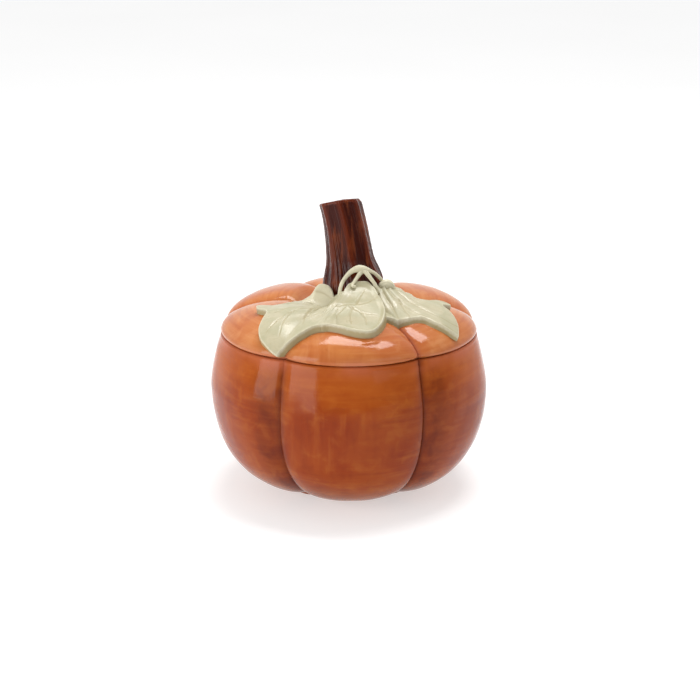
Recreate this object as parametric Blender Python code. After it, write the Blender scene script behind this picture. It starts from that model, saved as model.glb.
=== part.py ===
"""A glazed ceramic pumpkin jar with a lift-off lid: a six-lobed jar, and a lid whose handle is the stem.

Run with: blender --background --python part.py
Units are metres, +Z is up, and the front of the jar faces -Y. The origin is on the surface that the
jar stands on, under its middle. Angles round the jar are azimuths: 0 is the front, and they grow
towards +X.
"""

import math

import bmesh
import bpy
import numpy as np

MM = 0.001
GAP = 0.3 * MM  # between pieces that touch
EDGE_CHAMFER = 0.6 * MM
SHARP_ANGLE = math.radians(35)  # edges bent further than this are shaded sharp

# Lobes: the grooves' azimuths, and how full and how sharply creased a lobe's cross-section is
GROOVE_AZIMUTHS = (-97, -28, 32.5, 94, 152, 210)
LOBE_FULLNESS = 2.6
CREASE_SOFTNESS = 0.06
POINTS_PER_LOBE = 8

# Jar, measured along the crest of a lobe
UNDERSIDE_HEIGHT = 1.5 * MM
UNDERSIDE_RADIUS = 38 * MM
BELLY_HEIGHT = 70 * MM
BELLY_RADIUS = 91 * MM
RIM_HEIGHT = 104 * MM
RIM_RADIUS = 84.2 * MM
BELLY_FULLNESS = 2.3
SHOULDER_FULLNESS = 1.4
JAR_WALL = 6 * MM
RIM_WIDTH = 6.6 * MM
RIM_ROUNDING = 1.6 * MM
JAR_OUTER_RINGS = 13
JAR_INNER_RINGS = 9
FOOT_GROOVE = 6 * MM
BELLY_GROOVE = 5 * MM
RIM_GROOVE = 4.2 * MM
INNER_GROOVE_SHARE = 0.7  # the inside follows the grooves more softly

# Foot ring under the jar
FOOT_OUTER_RADIUS = 44 * MM
FOOT_INNER_RADIUS = 36 * MM
FOOT_RECESS = 2.6 * MM

# Lid, measured along the crest of a lobe
SEAT_HEIGHT = RIM_HEIGHT + GAP
DOME_HEIGHT = 20.3 * MM
CREST_RADIUS = 42 * MM
CROWN_RADIUS = 23 * MM
CROWN_DIP = 7.5 * MM
DOME_FULLNESS = (1.9, 1.95)
EDGE_TUCK = 1.2 * MM
EDGE_TUCK_HEIGHT = 3 * MM
DOME_GROOVE = 6 * MM
LID_OUTER_RINGS = 15
LID_INNER_RINGS = 8
LID_WALL = 5 * MM
CROWN_HOLE_RADIUS = 7 * MM
FLANGE_CLEARANCE = 1.2 * MM
FLANGE_WIDTH = 4.5 * MM
FLANGE_DEPTH = 7 * MM

# Stem
STEM_BASE = SEAT_HEIGHT + DOME_HEIGHT - CROWN_DIP + GAP
STEM_TOP = 188 * MM
STEM_BASE_RADIUS = 20.9 * MM
STEM_TOP_RADIUS = 13.4 * MM
STEM_COLLAR = 2 * MM  # how much it swells low down, and up to which share of its height
STEM_COLLAR_TOP = 0.43
STEM_BASE_OFFSET = 2.6 * MM
STEM_LEAN = -9.2 * MM
STEM_LEAN_BACK = 3 * MM
STEM_BEND = 2.2
STEM_FLUTES = 7
STEM_FLUTE_DEPTH = 0.05  # as a share of its radius
STEM_TWIST = 2.0  # how far the flutes shift from the base to the top, in radians of one flute's wave
STEM_POINTS = 4 * STEM_FLUTES
STEM_RINGS = 13
STEM_BORE_RINGS = 5
STEM_CUT_RISE_RIGHT = 0.2  # slopes of the cut top
STEM_CUT_FALL_BACK = 0.22
STEM_CUT_ONSET = 4  # the power of the height with which the rings tilt into the cut
STEM_TOP_CHAMFER = 1.0 * MM
STEM_BORE_RADIUS = 7 * MM
STEM_TOP_WALL = 8 * MM

# Leaves. Each outline is a flat pattern in millimetres, laid on the lid: its distance from the middle
# is measured along the dome, x to the right and y to the back. Rings of the outline shrink to CENTRE.
LEAF_THICKNESS = 4.2 * MM
LEAF_BED = 0.9 * MM  # slip under a leaf: more than GAP, because both faces are made of flats
LEAF_RINGS = (0.15, 0.35, 0.55, 0.78)
LEAF_EDGE_ROUNDING = 1.1 * MM
LEAF_GROOVE_SHARE = 0.75  # a leaf bridges the lid's grooves a little
LEFT_LEAF = (
    (-5, -37), (-4.5, -29), (-9, -26.5), (-19, -26), (-31, -23.5), (-33, -17.5), (-38, -16.5),
    (-47, -19), (-58.5, -22.5), (-58.8, -30), (-53.5, -37), (-55, -45), (-57, -54), (-56.5, -62),
    (-53, -69.5), (-48, -77.5), (-44.5, -79.5), (-40.5, -77), (-35, -73.8), (-28, -69), (-21, -65.5),
    (-12.7, -65), (-12.7, -51),
)
LEFT_LEAF_CENTRE = (-36, -45)
LEFT_LEAF_RISE = 0.45  # how steeply it climbs to the stem over the hollow round the crown
RIGHT_LEAF = (
    (25.3, -49.5), (24.8, -44), (23.8, -38), (21, -32), (18.3, -25.5), (18.8, -17), (23.2, -8.5), (25.8, 0),
    (26.2, 9), (30, 13.5), (34, 12), (38, 8), (40.5, 2), (42.5, -7), (43.5, -16), (47, -18.7),
    (52, -18.5), (58, -15), (63, -16), (66, -20), (60, -22.8), (63.5, -28), (67.5, -34), (70, -40),
    (71.5, -46), (70.5, -50.5), (66, -51), (60, -50.3), (54, -49.3), (48, -47.2), (43, -48),
    (38, -50.5), (33, -51.5), (28.5, -51.5),
)
RIGHT_LEAF_CENTRE = (44, -28)
RIGHT_LEAF_RISE = 0.5
FRONT_LEAF = (
    (0.4, -23.4), (4.6, -21.6), (8, -21.4), (12, -22), (15.6, -24.8), (18, -28.5), (19.8, -32.5),
    (21, -37), (22.6, -42.4), (23.5, -48), (22.8, -56), (20.3, -64.5), (15.5, -71.5), (8, -73.5),
    (0, -71.8), (-6, -69), (-11.8, -65), (-11.8, -51), (-4, -37.5), (-2, -30),
)
FRONT_LEAF_CENTRE = (7, -48)
FRONT_LEAF_TOP = (141.2 * MM, -20 * MM, 0.39)  # height at a place along Y, and slope towards the back
CURLED_LEAF = (
    (-27.5, -20.8), (-29, -18), (-27, -15.6), (-21.5, -14.6), (-16, -14.4), (-12, -16),
    (-9, -18.5), (-7.5, -21), (-8, -24.5), (-16, -25), (-23.5, -23.5),
)
CURLED_LEAF_CENTRE = (-16, -20.3)
CURLED_LEAF_TOP = (137.4 * MM, -14.8 * MM, 1.0)

# Bud and tendrils: points along each, in millimetres, with the radius there
TENDRIL_STEPS = 3  # between two points
TENDRIL_ROUNDNESS = 2  # of Blender's curve bevel: 8 sides
BUD = ((22, -14, 135.4, 3.6), (25.5, -13, 134.8, 3.6), (28.5, -11.8, 133, 2.6))
TENDRIL_ARCH = (
    (-6, -27.8, 131.8, 1.2), (-5.3, -24.3, 138, 1.2), (-3.8, -21.8, 141, 1.2), (-1.4, -20.2, 144.1, 1.3),
    (1.6, -19.2, 147.1, 1.5), (5.5, -18.7, 149.2, 1.7), (9, -18.4, 149, 1.7), (13.9, -17.2, 146.6, 1.3),
    (17.1, -15.5, 143.8, 1.1), (20, -13.6, 140.4, 1),
)
TENDRIL_CURL = (
    (6.9, -20.5, 146.1, 1.2), (5.3, -21.3, 144.4, 1.2), (3.6, -22.8, 141.8, 1.1), (2.2, -25, 140.7, 1),
    (2.6, -26.8, 139.9, 0.9), (4.6, -27.4, 139.6, 0.8),
)
TENDRIL_BRANCH = (
    (11.4, -20, 145.8, 1.2), (13.6, -20.8, 143, 1.2), (15.7, -21.4, 140.2, 1.2), (17.6, -22, 137.2, 1.1),
)

# Glazes: linear red, green and blue
BODY_COLOUR = (0.37, 0.078, 0.018)
LID_COLOUR = (0.50, 0.14, 0.035)
STEM_COLOUR = (0.07, 0.014, 0.006)
LEAF_COLOUR = (0.62, 0.60, 0.38)
GLAZE_ROUGHNESS = 0.15


def jar_crest(steps=60):
    """The jar's outer line along the crest of a lobe, from the underside up to the rim, as (r, z)."""
    turn = np.linspace(0, math.pi / 2, steps)
    lower_r = UNDERSIDE_RADIUS + (BELLY_RADIUS - UNDERSIDE_RADIUS) * np.sin(turn)
    lower_z = BELLY_HEIGHT - (BELLY_HEIGHT - UNDERSIDE_HEIGHT) * np.cos(turn) ** (2 / BELLY_FULLNESS)
    rise = np.linspace(0, 1, steps)[1:]
    upper_r = BELLY_RADIUS - (BELLY_RADIUS - RIM_RADIUS) * rise**SHOULDER_FULLNESS
    upper_z = BELLY_HEIGHT + (RIM_HEIGHT - RIM_ROUNDING - BELLY_HEIGHT) * rise
    return np.r_[lower_r, upper_r], np.r_[lower_z, upper_z]


def lid_crest(steps=60):
    """The lid's outer line along the crest of a lobe, from the middle of the crown out to the seat."""
    rise = np.linspace(0, 1, steps)
    hollow_r = CROWN_RADIUS + (CREST_RADIUS - CROWN_RADIUS) * rise
    hollow_z = -CROWN_DIP * (1 + np.cos(math.pi * rise)) / 2
    turn = np.linspace(0, math.pi / 2, steps)[1:]
    spread, height = DOME_FULLNESS
    dome_r = CREST_RADIUS + (RIM_RADIUS - CREST_RADIUS) * np.sin(turn) ** (2 / spread)
    dome_z = DOME_HEIGHT * np.cos(turn) ** (2 / height)
    tuck = np.clip(1 - dome_z / EDGE_TUCK_HEIGHT, 0, 1)
    dome_r = dome_r - EDGE_TUCK * tuck**2
    r = np.r_[0, hollow_r, dome_r]
    z = np.r_[DOME_HEIGHT - CROWN_DIP, DOME_HEIGHT + hollow_z, dome_z]
    return r, SEAT_HEIGHT + z


class Crest:
    """A line in the r-z plane, read by the distance along it, with its outward normal."""

    def __init__(self, r, z, outward):
        run, rise = np.gradient(r), np.gradient(z)
        length = np.hypot(run, rise)
        self.r, self.z = r, z
        self.normal_r, self.normal_z = outward * rise / length, -outward * run / length
        self.distance = np.r_[0, np.cumsum(np.hypot(np.diff(r), np.diff(z)))]
        self.end = self.distance[-1]

    def at(self, distance):
        lines = (self.r, self.z, self.normal_r, self.normal_z)
        return [np.interp(distance, self.distance, line) for line in lines]

    def distance_at_radius(self, radius):
        return float(np.interp(radius, self.r, self.distance))


JAR_CREST = Crest(*jar_crest(), outward=1)
LID_CREST = Crest(*lid_crest(), outward=-1)


def lobe_sag(across):
    """How far a lobe's surface is below its crest, from 0 on the crest to 1 in the groove beside it."""
    full = np.sqrt(np.clip(1 - np.abs(across) ** LOBE_FULLNESS, 0, 1))
    return 1 - full**2 * (1 + CREASE_SOFTNESS) / (full + CREASE_SOFTNESS)


def sag_at(azimuth):
    """lobe_sag at azimuths in radians."""
    grooves = np.radians(GROOVE_AZIMUTHS)
    ends = np.r_[grooves, grooves[0] + 2 * math.pi]
    turned = grooves[0] + np.mod(azimuth - grooves[0], 2 * math.pi)
    lobe = np.clip(np.searchsorted(ends, turned, side="right") - 1, 0, len(grooves) - 1)
    return lobe_sag(2 * (turned - ends[lobe]) / (ends[lobe + 1] - ends[lobe]) - 1)


def ring_azimuths():
    """The azimuths of a lobed ring's points, closer together near each groove."""
    grooves = np.radians(GROOVE_AZIMUTHS)
    ends = np.r_[grooves, grooves[0] + 2 * math.pi]
    across = np.sin(np.linspace(-math.pi / 2, math.pi / 2, POINTS_PER_LOBE + 1)[:-1])
    return np.concatenate([a + (b - a) * (1 + across) / 2 for a, b in zip(ends, ends[1:])])


AZIMUTHS = ring_azimuths()


def around(azimuth, r, z):
    """Points at radius r and height z round the axis."""
    return np.stack(np.broadcast_arrays(r * np.sin(azimuth), -r * np.cos(azimuth), z), axis=-1)


def lobed_ring(crest, distance, offset, groove):
    """A ring of points a distance along a crest, moved out by offset and in again at the grooves."""
    r, z, normal_r, normal_z = crest.at(distance)
    out = offset - groove * sag_at(AZIMUTHS)
    return around(AZIMUTHS, r + normal_r * out, z + normal_z * out)


def level_ring(radius, height, groove=0.0):
    return around(AZIMUTHS, radius - groove * sag_at(AZIMUTHS), height)


def jar_groove(distance):
    """The depth of the jar's grooves a distance along its crest."""
    belly = JAR_CREST.distance[np.argmax(JAR_CREST.r)]
    return np.interp(distance, [0, belly, JAR_CREST.end], [FOOT_GROOVE, BELLY_GROOVE, RIM_GROOVE])


def lid_groove(distance):
    """The depth of the lid's grooves a distance along its crest: none on the flat crown."""
    stops = [LID_CREST.distance_at_radius(r) for r in (CROWN_RADIUS, CREST_RADIUS)]
    return np.interp(distance, [*stops, LID_CREST.end], [0, DOME_GROOVE, RIM_GROOVE])


def loft(name, rings, joined_ends=False):
    """A mesh object skinned over rings of points. Its ends are capped, or joined to each other."""
    mesh = bmesh.new()
    loops = [[mesh.verts.new(point) for point in ring] for ring in rings]
    pairs = list(zip(loops, loops[1:]))
    if joined_ends:
        pairs.append((loops[-1], loops[0]))
    else:
        mesh.faces.new(loops[0])
        mesh.faces.new(reversed(loops[-1]))
    for near, far in pairs:
        for i, corner in enumerate(near):
            j = (i + 1) % len(near)
            mesh.faces.new((near[j], corner, far[i], far[j]))
    return mesh_object(name, mesh)


def mesh_object(name, mesh):
    """A smooth-shaded object from a bmesh, with its faces pointing out."""
    if mesh.calc_volume(signed=True) < 0:
        bmesh.ops.reverse_faces(mesh, faces=mesh.faces)
    data = bpy.data.meshes.new(name)
    mesh.to_mesh(data)
    mesh.free()
    data.shade_smooth()
    data.set_sharp_from_angle(angle=SHARP_ANGLE)
    piece = bpy.data.objects.new(name, data)
    bpy.context.scene.collection.objects.link(piece)
    return piece


def glaze(name, colour):
    """A glossy glaze, a material that isn't metallic."""
    material = bpy.data.materials.new(name)
    material.use_nodes = True
    surface = material.node_tree.nodes["Principled BSDF"]
    surface.inputs["Base Color"].default_value = (*colour, 1)
    surface.inputs["Roughness"].default_value = GLAZE_ROUGHNESS
    surface.inputs["Metallic"].default_value = 0
    return material


def jar_body():
    """The jar: a lobed shell with a flat rim, a flat floor and a foot ring."""
    foot = JAR_CREST.distance_at_radius(FOOT_OUTER_RADIUS)
    outside = np.linspace(JAR_CREST.end, foot, JAR_OUTER_RINGS)
    inside = np.linspace(0, JAR_CREST.end - RIM_ROUNDING, JAR_INNER_RINGS + 1)[1:]
    share = INNER_GROOVE_SHARE
    half_round = RIM_ROUNDING * (1 - math.cos(math.pi / 4))
    rings = [level_ring(UNDERSIDE_RADIUS, UNDERSIDE_HEIGHT + JAR_WALL)]
    rings += [lobed_ring(JAR_CREST, s, -JAR_WALL, share * jar_groove(s)) for s in inside]
    rings += [
        level_ring(RIM_RADIUS - RIM_WIDTH + EDGE_CHAMFER, RIM_HEIGHT, share * RIM_GROOVE),
        level_ring(RIM_RADIUS - RIM_ROUNDING, RIM_HEIGHT, RIM_GROOVE),
        level_ring(RIM_RADIUS - half_round, RIM_HEIGHT - half_round, RIM_GROOVE),
    ]
    rings += [lobed_ring(JAR_CREST, s, 0, jar_groove(s)) for s in outside]
    rings += [
        level_ring(FOOT_OUTER_RADIUS - EDGE_CHAMFER, EDGE_CHAMFER),
        level_ring(FOOT_OUTER_RADIUS - 2 * EDGE_CHAMFER, 0),
        level_ring(FOOT_INNER_RADIUS + EDGE_CHAMFER, 0),
        level_ring(FOOT_INNER_RADIUS, EDGE_CHAMFER),
        level_ring(FOOT_INNER_RADIUS, FOOT_RECESS),
    ]
    return loft("jar_body", rings)


def lid_shell():
    """The lid: a lobed dome, a seat, a flange that drops into the mouth, and a hole in the crown."""
    hole = LID_CREST.distance_at_radius(CROWN_HOLE_RADIUS)
    crown = LID_CREST.distance_at_radius(CROWN_RADIUS)
    outside = np.r_[hole, np.linspace(crown, LID_CREST.end, LID_OUTER_RINGS)]
    rings = [lobed_ring(LID_CREST, s, 0, lid_groove(s)) for s in outside]
    share = INNER_GROOVE_SHARE
    groove = share * RIM_GROOVE
    flange = RIM_RADIUS - RIM_WIDTH - FLANGE_CLEARANCE
    inner = flange - FLANGE_WIDTH
    rings += [
        level_ring(flange, SEAT_HEIGHT, groove),
        level_ring(flange, SEAT_HEIGHT - FLANGE_DEPTH + EDGE_CHAMFER, groove),
        level_ring(flange - EDGE_CHAMFER, SEAT_HEIGHT - FLANGE_DEPTH, groove),
        level_ring(inner + EDGE_CHAMFER, SEAT_HEIGHT - FLANGE_DEPTH, groove),
        level_ring(inner, SEAT_HEIGHT - FLANGE_DEPTH + EDGE_CHAMFER, groove),
    ]
    under = np.linspace(LID_CREST.distance_at_radius(inner), crown, LID_INNER_RINGS)
    rings += [lobed_ring(LID_CREST, s, -LID_WALL, share * lid_groove(s)) for s in under]
    rings.append(lobed_ring(LID_CREST, hole, -LID_WALL, 0))
    return loft("lid_shell", rings, joined_ends=True)


def stem_line(share):
    """The stem's middle and radius at a share of its height, 0 at the base and 1 at the top."""
    x = STEM_BASE_OFFSET + STEM_LEAN * share**STEM_BEND
    y = STEM_LEAN_BACK * share
    z = STEM_BASE + (STEM_TOP - STEM_BASE) * share
    taper = (STEM_BASE_RADIUS - STEM_TOP_RADIUS) * (1 - share) ** 2
    collar = STEM_COLLAR * math.sin(math.pi * min(share / STEM_COLLAR_TOP, 1)) ** 2
    return x, y, z, STEM_TOP_RADIUS + taper + collar


def stem_ring(share, radius, cut):
    """One fluted ring of the stem. cut is how much it tilts with the slanting top."""
    x, y, z, _ = stem_line(share)
    turn = np.linspace(0, 2 * math.pi, STEM_POINTS, endpoint=False)
    flute = 1 - STEM_FLUTE_DEPTH * (1 + np.cos(STEM_FLUTES * turn + STEM_TWIST * share))
    across = radius * flute * np.cos(turn)
    deep = radius * flute * np.sin(turn)
    tilt = cut * (STEM_CUT_RISE_RIGHT * across - STEM_CUT_FALL_BACK * deep)
    return np.stack([x + across, y + deep, z + tilt], axis=-1)


def stem_handle():
    """The stem: fluted and leaning, with a slanting cut top, and hollow from below."""
    height = STEM_TOP - STEM_BASE
    bore = np.linspace(1 - STEM_TOP_WALL / height, 0, STEM_BORE_RINGS)
    outside = np.linspace(0, 1 - STEM_TOP_CHAMFER / height, STEM_RINGS)
    rings = [stem_ring(share, STEM_BORE_RADIUS, 0) for share in bore]
    rings += [stem_ring(share, stem_line(share)[3], share**STEM_CUT_ONSET) for share in outside]
    rings.append(stem_ring(1, STEM_TOP_RADIUS - STEM_TOP_CHAMFER, 1))
    return loft("stem_handle", rings)


def smooth_outline(corners, steps=2):
    """A closed curve through corner points in millimetres, as points in metres."""
    corners = np.array(corners) * MM
    before, after, later = (np.roll(corners, turn, axis=0) for turn in (1, -1, -2))
    points = []
    for a, b, c, d in zip(before, corners, after, later):
        for t in np.arange(steps) / steps:
            curve = 2 * b + (c - a) * t + (2 * a - 5 * b + 4 * c - d) * t**2
            points.append((curve + (3 * b - a - 3 * c + d) * t**3) / 2)
    return np.array(points)


def on_lid(pattern, offset):
    """Points of a flat pattern laid on the lid, lifted by offset: along the dome's normal up to a leaf's
    thickness, then straight up."""
    distance = np.hypot(pattern[:, 0], pattern[:, 1])
    azimuth = np.arctan2(pattern[:, 0], -pattern[:, 1])
    r, z, normal_r, normal_z = LID_CREST.at(distance)
    out = offset - LEAF_GROOVE_SHARE * lid_groove(distance) * sag_at(azimuth)
    lift = np.clip(out - LEAF_THICKNESS, 0, None)
    out = out - lift
    return around(azimuth, r + normal_r * out, z + normal_z * out + lift)


def climbing_top(rise):
    """A leaf's top that follows the dome and climbs to the stem from the crest inwards."""
    crest = LID_CREST.distance_at_radius(CREST_RADIUS)

    def top(pattern):
        distance = np.hypot(pattern[:, 0], pattern[:, 1])
        return LEAF_THICKNESS + rise * np.clip(crest - distance, 0, None)

    return top


def propped_top(height, place, slope):
    """A leaf's top that leans on the stem as a tilted plane, and nowhere thinner than a leaf."""

    def top(pattern):
        distance = np.hypot(pattern[:, 0], pattern[:, 1])
        plane = height + slope * (pattern[:, 1] - place)
        return np.maximum(plane - LID_CREST.at(distance)[1], LEAF_THICKNESS)

    return top


def leaf(name, corners, centre, top):
    """A slab of clay cut to an outline: its underside lies on the lid, its top edge is rounded."""
    outline = smooth_outline(corners)
    middle = np.array(centre) * MM
    reach = np.hypot(*(outline - middle).T).mean()
    rings = []
    for share in (*LEAF_RINGS, 1):
        pattern = middle + (outline - middle) * share
        rings.append(on_lid(pattern, LEAF_BED))
    rings.append(on_lid(outline, top(outline) - LEAF_EDGE_ROUNDING))
    for share in (1 - LEAF_EDGE_ROUNDING / reach, *reversed(LEAF_RINGS)):
        pattern = middle + (outline - middle) * share
        rings.append(on_lid(pattern, top(pattern)))
    return loft(name, rings)


def tendril(name, points):
    """A rolled piece of clay: a round bar along a smooth curve, with flat ends."""
    line = bpy.data.curves.new(name, "CURVE")
    line.dimensions = "3D"
    line.resolution_u = TENDRIL_STEPS
    line.bevel_depth = MM
    line.bevel_resolution = TENDRIL_ROUNDNESS
    line.use_fill_caps = True
    spline = line.splines.new("BEZIER")
    spline.bezier_points.add(len(points) - 1)
    for knot, (x, y, z, radius) in zip(spline.bezier_points, points):
        knot.co = (x * MM, y * MM, z * MM)
        knot.radius = radius
        knot.handle_left_type = "AUTO"
        knot.handle_right_type = "AUTO"
    piece = bpy.data.objects.new(name, line)
    bpy.context.scene.collection.objects.link(piece)
    return piece


def leaf_pieces():
    front = propped_top(*FRONT_LEAF_TOP)
    curled = propped_top(*CURLED_LEAF_TOP)
    return [
        leaf("left_leaf", LEFT_LEAF, LEFT_LEAF_CENTRE, climbing_top(LEFT_LEAF_RISE)),
        leaf("right_leaf", RIGHT_LEAF, RIGHT_LEAF_CENTRE, climbing_top(RIGHT_LEAF_RISE)),
        leaf("front_leaf", FRONT_LEAF, FRONT_LEAF_CENTRE, front),
        leaf("curled_leaf", CURLED_LEAF, CURLED_LEAF_CENTRE, curled),
        tendril("leaf_bud", BUD),
        tendril("tendril_arch", TENDRIL_ARCH),
        tendril("tendril_curl", TENDRIL_CURL),
        tendril("tendril_branch", TENDRIL_BRANCH),
    ]


def lift_axis(pieces):
    """An empty on the line that the lid lifts along, which carries the lid's pieces."""
    axis = bpy.data.objects.new("lid_lift", None)
    bpy.context.scene.collection.objects.link(axis)
    for piece in pieces:
        piece.parent = axis


def main():
    for old in list(bpy.data.objects):
        bpy.data.objects.remove(old)
    jar_body().data.materials.append(glaze("body_glaze", BODY_COLOUR))
    shell = lid_shell()
    shell.data.materials.append(glaze("lid_glaze", LID_COLOUR))
    stem = stem_handle()
    stem.data.materials.append(glaze("stem_glaze", STEM_COLOUR))
    leaf_glaze = glaze("leaf_glaze", LEAF_COLOUR)
    leaves = leaf_pieces()
    for piece in leaves:
        piece.data.materials.append(leaf_glaze)
    lift_axis([shell, stem, *leaves])


if __name__ == "__main__":
    main()
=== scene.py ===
import math

import bpy
import numpy as np
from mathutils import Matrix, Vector
from mathutils.geometry import delaunay_2d_cdt


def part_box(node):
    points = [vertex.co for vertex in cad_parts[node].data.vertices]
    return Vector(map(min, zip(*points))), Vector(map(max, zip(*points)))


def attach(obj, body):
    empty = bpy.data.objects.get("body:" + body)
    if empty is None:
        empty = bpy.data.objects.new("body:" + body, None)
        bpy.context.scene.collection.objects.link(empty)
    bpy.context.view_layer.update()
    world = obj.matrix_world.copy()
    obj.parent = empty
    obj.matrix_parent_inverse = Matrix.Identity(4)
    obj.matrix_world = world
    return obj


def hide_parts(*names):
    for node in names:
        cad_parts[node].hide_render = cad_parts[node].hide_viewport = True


# The looks of a glazed ceramic pumpkin jar: a lobed body, a domed lid, its stem, leaves and tendrils.
#
# Every visible piece is a fine mesh worked out from the same curves as the CAD solid it stands for.
# Units are metres, +Z is up and the front of the jar faces -Y. Angles round the jar are azimuths:
# 0 is the front, and they grow towards +X.

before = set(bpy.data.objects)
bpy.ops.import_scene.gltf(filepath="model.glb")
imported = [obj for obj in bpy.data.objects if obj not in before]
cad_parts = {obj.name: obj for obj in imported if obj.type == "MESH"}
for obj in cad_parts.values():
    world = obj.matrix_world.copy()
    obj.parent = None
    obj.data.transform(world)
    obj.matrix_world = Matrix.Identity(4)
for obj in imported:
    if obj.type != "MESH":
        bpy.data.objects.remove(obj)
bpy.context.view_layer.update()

MM = 0.001
GAP = 0.3 * MM  # between the lid's seat and the jar's rim

# Lobes: the grooves' azimuths, and how softly each groove's floor is rounded
GROOVE_AZIMUTHS = (-97, -29.8, 32.2, 94, 152, 210)
GROOVE_SOFTNESS = (0.1, 0.3, 0.07, 0.09, 0.07, 0.1)
LOBE_FULLNESS = 2.6
POINTS_PER_LOBE = 58
# Painted shade down the side of each groove away from the front: degrees past the groove, and how wide
SIDE_SHADE_PLACE = 5  # degrees past a groove, and how wide
SIDE_SHADE_WIDTH = 6

CREST_STEPS = 240

# Jar, measured along the crest of a lobe
RIM_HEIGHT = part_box("jar_body")[1].z
UNDERSIDE_HEIGHT = 1.5 * MM
UNDERSIDE_RADIUS = 38 * MM
BELLY_HEIGHT = 70 * MM
BELLY_RADIUS = 91 * MM
RIM_RADIUS = 84.2 * MM
BELLY_FULLNESS = 2.3
SHOULDER_FULLNESS = 1.4
JAR_WALL = 6 * MM
RIM_WIDTH = 6.6 * MM
RIM_ROUNDING = 1.6 * MM
LIP_ROUNDING = 1.2 * MM
FOOT_GROOVE = 4.5 * MM
BELLY_GROOVE = 5 * MM
RIM_GROOVE = 4.2 * MM
INNER_GROOVE_SHARE = 0.7
FOOT_OUTER_RADIUS = 44 * MM
FOOT_INNER_RADIUS = 36 * MM
FOOT_ROUNDING = 0.9 * MM
FOOT_LOBE = 6 * MM  # how far the foot ring's outside goes in between two lobes
FOOT_RECESS = 2.6 * MM

# Lid, measured along the crest of a lobe
SEAT_HEIGHT = RIM_HEIGHT + GAP
DOME_HEIGHT = 20.3 * MM
CREST_RADIUS = 42 * MM
CROWN_RADIUS = 23 * MM
CROWN_DIP = 7.5 * MM
DOME_FULLNESS = (1.9, 1.95)
EDGE_TUCK = 1.2 * MM
EDGE_TUCK_HEIGHT = 3 * MM
DOME_GROOVE = 6 * MM
LID_WALL = 5 * MM
CROWN_HOLE_RADIUS = 7 * MM
FLANGE_CLEARANCE = 1.2 * MM
FLANGE_WIDTH = 4.5 * MM
FLANGE_DEPTH = SEAT_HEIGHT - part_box("lid_shell")[0].z

# Stem
STEM_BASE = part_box("stem_handle")[0].z - GAP
STEM_TOP = 188 * MM
STEM_BASE_RADIUS = 21.4 * MM
STEM_TOP_RADIUS = 14.1 * MM
STEM_COLLAR = 2.4 * MM  # how much it swells low down, and up to which share of its height
STEM_COLLAR_TOP = 0.5
STEM_BASE_OFFSET = 2.0 * MM
STEM_LEAN = -8.0 * MM
STEM_LEAN_BACK = 3 * MM
STEM_BEND = 2.4
STEM_SWAY = 1.5 * MM  # how far it bows to the right low down, and up to which share of its height
STEM_SWAY_TOP = 0.55
STEM_FLUTES = 7
STEM_TWIST = 2.0
STEM_CUT_RISE_RIGHT = 0.2
STEM_CUT_FALL_BACK = 0.22
STEM_BORE_RADIUS = 7 * MM
STEM_TOP_WALL = 8 * MM
STEM_EDGE = 1.4 * MM
STEM_WEAR = 0.9 * MM  # how much of the cut's right corner is worn away
STEM_COLUMNS = 280
STEM_TURN = np.linspace(0, 2 * math.pi, STEM_COLUMNS, endpoint=False)

# Leaves: flat patterns in millimetres, laid on the lid. A pattern's distance from the middle is
# measured along the dome, x to the right and y to the back.
LEAF_THICKNESS = 4.2 * MM
LEAF_GROOVE_SHARE = 0.6
LEAF_DISH = 0.8 * MM
LEAF_EDGE = 2.1 * MM  # how wide the sloping cut edge is, and the rows of points along it
LEAF_EDGE_ROWS = (0.12, 0.25, 0.38, 0.5, 0.7, 0.88, 1.0, 1.12, 1.3, 1.6)
LEFT_LEAF = (
    (-5, -37), (-4.5, -29), (-9, -26.5), (-19, -26), (-31, -23.5), (-33, -18.5), (-38, -19.5),
    (-47, -23), (-58.8, -23.5), (-59.6, -29.5), (-54.5, -36), (-56.5, -45), (-58.8, -54), (-58.3, -62),
    (-55, -69.5), (-50.5, -77), (-47, -80), (-43, -77.6), (-36.5, -73.8), (-28.5, -69.2), (-21, -66),
    (-12, -66.3), (-8, -66), (-8, -51),
)
LEFT_LEAF_RISE = 0.45
LEFT_RIBS = ((-4, -38), 26, 0.3 * MM, 34)  # folds in the leaf: their root, number, depth and reach
RIGHT_LEAF = (
    (22, -49.5), (19, -44), (17, -38), (15, -32), (14, -25.5), (15.5, -18), (23, -8.5), (25.8, 0),
    (26.2, 9), (30, 13.5), (34, 12), (38, 8), (40.5, 2), (42.5, -7), (43.5, -16), (47, -18.7),
    (52, -18.5), (58, -15), (63.5, -16), (66.5, -20), (61, -23), (65, -28), (69, -33.5),
    (71.8, -39.5), (72.6, -46), (72.3, -51), (67.5, -52), (60.5, -50.6), (54, -49.3), (48, -47.2),
    (43, -48), (38, -50.5), (33, -51.5), (27.5, -51.7),
)
RIGHT_LEAF_RISE = 0.5
RIGHT_RIBS = ((12, 4), 40, 0.45 * MM, 58)
RIGHT_LEAF_MOUND = ((24, -16), 140.5 * MM, 0.62)  # where its stalk meets the stem: place, height, slope
FRONT_LEAF = (
    (-0.6, -23.6), (4.4, -21.3), (8, -20.9), (12.5, -21.4), (16.8, -24.4), (19.4, -28), (21, -32),
    (22.2, -37), (23.8, -42.4), (24.6, -48), (23.8, -56), (21, -65), (15.8, -72), (8, -73.7),
    (0, -71.8), (-6, -69), (-13, -66.4), (-18, -65.2), (-17, -56), (-13, -46), (-7, -37.5), (-4, -29.9),
)
FRONT_LEAF_TOP = (141.6 * MM, -20 * MM, 0.4)  # a tilted plane: its height at a y, and its slope
CURLED_LEAF = (
    (-38, -20), (-37, -16.6), (-31, -15.4), (-25, -14.8), (-20, -14.2), (-15, -14.2), (-11, -15.5),
    (-8.2, -18.5), (-7.2, -22), (-7.8, -27.5), (-16, -29), (-24, -27.5), (-32, -24),
)
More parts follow.
